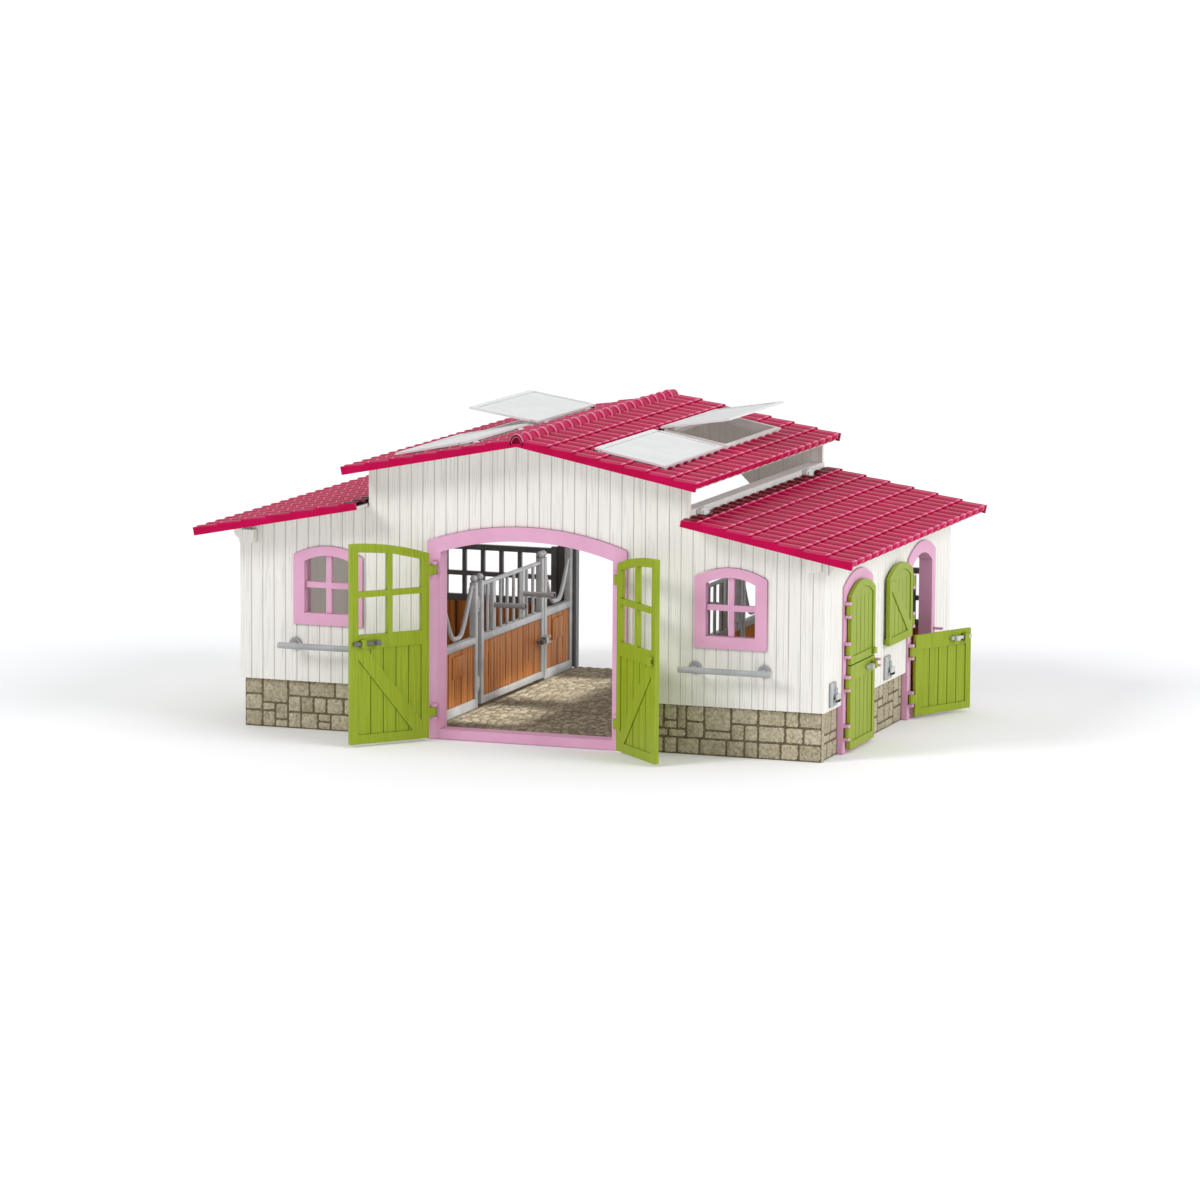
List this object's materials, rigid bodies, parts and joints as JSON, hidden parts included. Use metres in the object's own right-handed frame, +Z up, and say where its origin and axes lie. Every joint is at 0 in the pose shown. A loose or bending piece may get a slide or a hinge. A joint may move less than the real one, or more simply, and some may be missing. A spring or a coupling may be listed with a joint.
{
  "type": "toy stable",
  "caption": "Toy horse stable with a tiled gable roof, hinged lean-to roofs, lifting skylights, arched double doors, half doors and barred stall fronts with swinging gates.",
  "frame": {"origin": "on the ground under the middle of the plan, between the side walls and midway from the front wall face to the rear edge", "axes": "+X across the front to the viewer's right, +Y from front to rear, +Z up"},
  "size_m": [0.5991, 0.4502, 0.267],
  "materials": {
    "white_plastic": "moulded wood grain",
    "stone_plastic": "painted stone relief",
    "pink_plastic": "satin",
    "green_plastic": "moulded wood grain",
    "grey_plastic": "satin",
    "brown_plastic": "moulded wood grain",
    "tile_plastic": "satin",
    "clear_plastic": "frosted translucent",
    "floor_plastic": "plain",
    "paving_plastic": "cobble relief"
  },
  "bodies": {
    "building": {"floor_plate": "floor_plastic", "aisle_paving": "paving_plastic", "front_wall": "white_plastic", "left_wall": "white_plastic", "right_wall": "white_plastic", "front_plinths": "stone_plastic", "side_plinths": "stone_plastic", "main_door_frame": "pink_plastic", "window_frames": "pink_plastic", "left_front_door_frame": "pink_plastic", "left_rear_door_frame": "pink_plastic", "right_front_door_frame": "pink_plastic", "right_rear_door_frame": "pink_plastic", "hitching_rails": "grey_plastic", "tack_brackets": "grey_plastic", "left_roof_rail": "white_plastic", "right_roof_rail": "white_plastic", "rear_gable": "white_plastic", "rear_posts": "grey_plastic", "rear_grilles": "grey_plastic", "left_stall_panels": "grey_plastic", "right_stall_panels": "grey_plastic", "stall_boards": "brown_plastic"},
    "left_main_leaf": {"left_main_door": "green_plastic"},
    "right_main_leaf": {"right_main_door": "green_plastic"},
    "main_bolt": {"main_door_bolt": "grey_plastic"},
    "left_front_lower_leaf": {"left_front_lower_door": "green_plastic"},
    "left_front_upper_leaf": {"left_front_upper_door": "green_plastic"},
    "left_front_bolt": {"left_front_door_bolt": "grey_plastic"},
    "left_rear_lower_leaf": {"left_rear_lower_door": "green_plastic"},
    "left_rear_upper_leaf": {"left_rear_upper_door": "green_plastic"},
    "left_rear_bolt": {"left_rear_door_bolt": "grey_plastic"},
    "right_front_lower_leaf": {"right_front_lower_door": "green_plastic"},
    "right_front_upper_leaf": {"right_front_upper_door": "green_plastic"},
    "right_front_bolt": {"right_front_door_bolt": "grey_plastic"},
    "right_rear_lower_leaf": {"right_rear_lower_door": "green_plastic"},
    "right_rear_upper_leaf": {"right_rear_upper_door": "green_plastic"},
    "right_rear_bolt": {"right_rear_door_bolt": "grey_plastic"},
    "left_stall_gate": {"left_gate": "grey_plastic", "left_gate_boards": "brown_plastic"},
    "left_latch": {"left_gate_latch": "grey_plastic"},
    "right_stall_gate": {"right_gate": "grey_plastic", "right_gate_boards": "brown_plastic"},
    "right_latch": {"right_gate_latch": "grey_plastic"},
    "main_roof": {"left_roof_deck": "white_plastic", "right_roof_deck": "white_plastic", "left_roof_tiles": "tile_plastic", "right_roof_tiles": "tile_plastic", "ridge_tiles": "tile_plastic", "left_skylight_curbs": "white_plastic", "right_skylight_curbs": "white_plastic"},
    "left_front_lid": {"left_front_skylight": "clear_plastic"},
    "left_rear_lid": {"left_rear_skylight": "clear_plastic"},
    "right_front_lid": {"right_front_skylight": "clear_plastic"},
    "right_rear_lid": {"right_rear_skylight": "clear_plastic"},
    "left_lean_to": {"left_lean_to_deck": "white_plastic", "left_lean_to_tiles": "tile_plastic"},
    "right_lean_to": {"right_lean_to_deck": "white_plastic", "right_lean_to_tiles": "tile_plastic"}
  },
  "joints": [
    {"name": "left_main_door_swing", "type": "hinge", "parent": "building", "child": "left_main_leaf", "pos_m": [-0.082, -0.1945, 0.085], "axis": [0, 0, -1], "range_deg": [-129, 21]},
    {"name": "right_main_door_swing", "type": "hinge", "parent": "building", "child": "right_main_leaf", "pos_m": [0.082, -0.1945, 0.085], "axis": [0, 0, 1], "range_deg": [-134, 16]},
    {"name": "main_bolt_slide", "type": "slide", "parent": "left_main_leaf", "child": "main_bolt", "axis": [-0.6293, -0.7771, 0], "range_m": [0, 0.008]},
    {"name": "left_front_lower_swing", "type": "hinge", "parent": "building", "child": "left_front_lower_leaf", "pos_m": [-0.267, -0.135, 0.0385], "axis": [0, 0, 1], "range_deg": [0, 120]},
    {"name": "left_front_upper_swing", "type": "hinge", "parent": "building", "child": "left_front_upper_leaf", "pos_m": [-0.267, -0.135, 0.105], "axis": [0, 0, 1], "range_deg": [0, 180]},
    {"name": "left_front_bolt_slide", "type": "slide", "parent": "left_front_lower_leaf", "child": "left_front_bolt", "axis": [0, 1, 0], "range_m": [0, 0.006]},
    {"name": "left_rear_lower_swing", "type": "hinge", "parent": "building", "child": "left_rear_lower_leaf", "pos_m": [-0.267, 0.055, 0.0385], "axis": [0, 0, 1], "range_deg": [0, 120]},
    {"name": "left_rear_upper_swing", "type": "hinge", "parent": "building", "child": "left_rear_upper_leaf", "pos_m": [-0.267, 0.055, 0.105], "axis": [0, 0, 1], "range_deg": [0, 180]},
    {"name": "left_rear_bolt_slide", "type": "slide", "parent": "left_rear_lower_leaf", "child": "left_rear_bolt", "axis": [0, 1, 0], "range_m": [0, 0.006]},
    {"name": "right_front_lower_swing", "type": "hinge", "parent": "building", "child": "right_front_lower_leaf", "pos_m": [0.267, -0.135, 0.0385], "axis": [0, 0, -1], "range_deg": [0, 120]},
    {"name": "right_front_upper_swing", "type": "hinge", "parent": "building", "child": "right_front_upper_leaf", "pos_m": [0.267, -0.135, 0.105], "axis": [0, 0, -1], "range_deg": [0, 180]},
    {"name": "right_front_bolt_slide", "type": "slide", "parent": "right_front_lower_leaf", "child": "right_front_bolt", "axis": [0, 1, 0], "range_m": [0, 0.006]},
    {"name": "right_rear_lower_swing", "type": "hinge", "parent": "building", "child": "right_rear_lower_leaf", "pos_m": [0.267, 0.055, 0.0385], "axis": [0, 0, -1], "range_deg": [-27, 93]},
    {"name": "right_rear_upper_swing", "type": "hinge", "parent": "building", "child": "right_rear_upper_leaf", "pos_m": [0.267, 0.055, 0.105], "axis": [0, 0, -1], "range_deg": [-180, 0]},
    {"name": "right_rear_bolt_slide", "type": "slide", "parent": "right_rear_lower_leaf", "child": "right_rear_bolt", "axis": [0.454, 0.891, 0], "range_m": [0, 0.006]},
    {"name": "left_gate_swing", "type": "hinge", "parent": "building", "child": "left_stall_gate", "pos_m": [-0.094, -0.061, 0.06], "axis": [0, 0, 1], "range_deg": [0, 70]},
    {"name": "left_latch_slide", "type": "slide", "parent": "left_stall_gate", "child": "left_latch", "axis": [0, 1, 0], "range_m": [0, 0.006]},
    {"name": "right_gate_swing", "type": "hinge", "parent": "building", "child": "right_stall_gate", "pos_m": [0.094, -0.061, 0.06], "axis": [0, 0, -1], "range_deg": [0, 70]},
    {"name": "right_latch_slide", "type": "slide", "parent": "right_stall_gate", "child": "right_latch", "axis": [0, 1, 0], "range_m": [0, 0.006]},
    {"name": "main_roof_lift", "type": "slide", "parent": "building", "child": "main_roof", "axis": [0, 0, 1], "range_m": [0, 0.08]},
    {"name": "left_front_lid_lift", "type": "hinge", "parent": "main_roof", "child": "left_front_lid", "pos_m": [-0.05799, -0.108, 0.25053], "axis": [0, 1, 0], "range_deg": [0, 60]},
    {"name": "left_rear_lid_lift", "type": "hinge", "parent": "main_roof", "child": "left_rear_lid", "pos_m": [-0.05799, 0.065, 0.25053], "axis": [0, 1, 0], "range_deg": [-20, 40]},
    {"name": "right_front_lid_lift", "type": "hinge", "parent": "main_roof", "child": "right_front_lid", "pos_m": [0.05799, -0.108, 0.25053], "axis": [0, -1, 0], "range_deg": [0, 60]},
    {"name": "right_rear_lid_lift", "type": "hinge", "parent": "main_roof", "child": "right_rear_lid", "pos_m": [0.05799, 0.065, 0.25053], "axis": [0, -1, 0], "range_deg": [-20, 40]},
    {"name": "left_lean_to_lift", "type": "hinge", "parent": "building", "child": "left_lean_to", "pos_m": [-0.146, 0, 0.2032], "axis": [0, 1, 0], "range_deg": [0, 50]},
    {"name": "right_lean_to_lift", "type": "hinge", "parent": "building", "child": "right_lean_to", "pos_m": [0.146, 0, 0.2032], "axis": [0, -1, 0], "range_deg": [0, 50]}
  ]
}
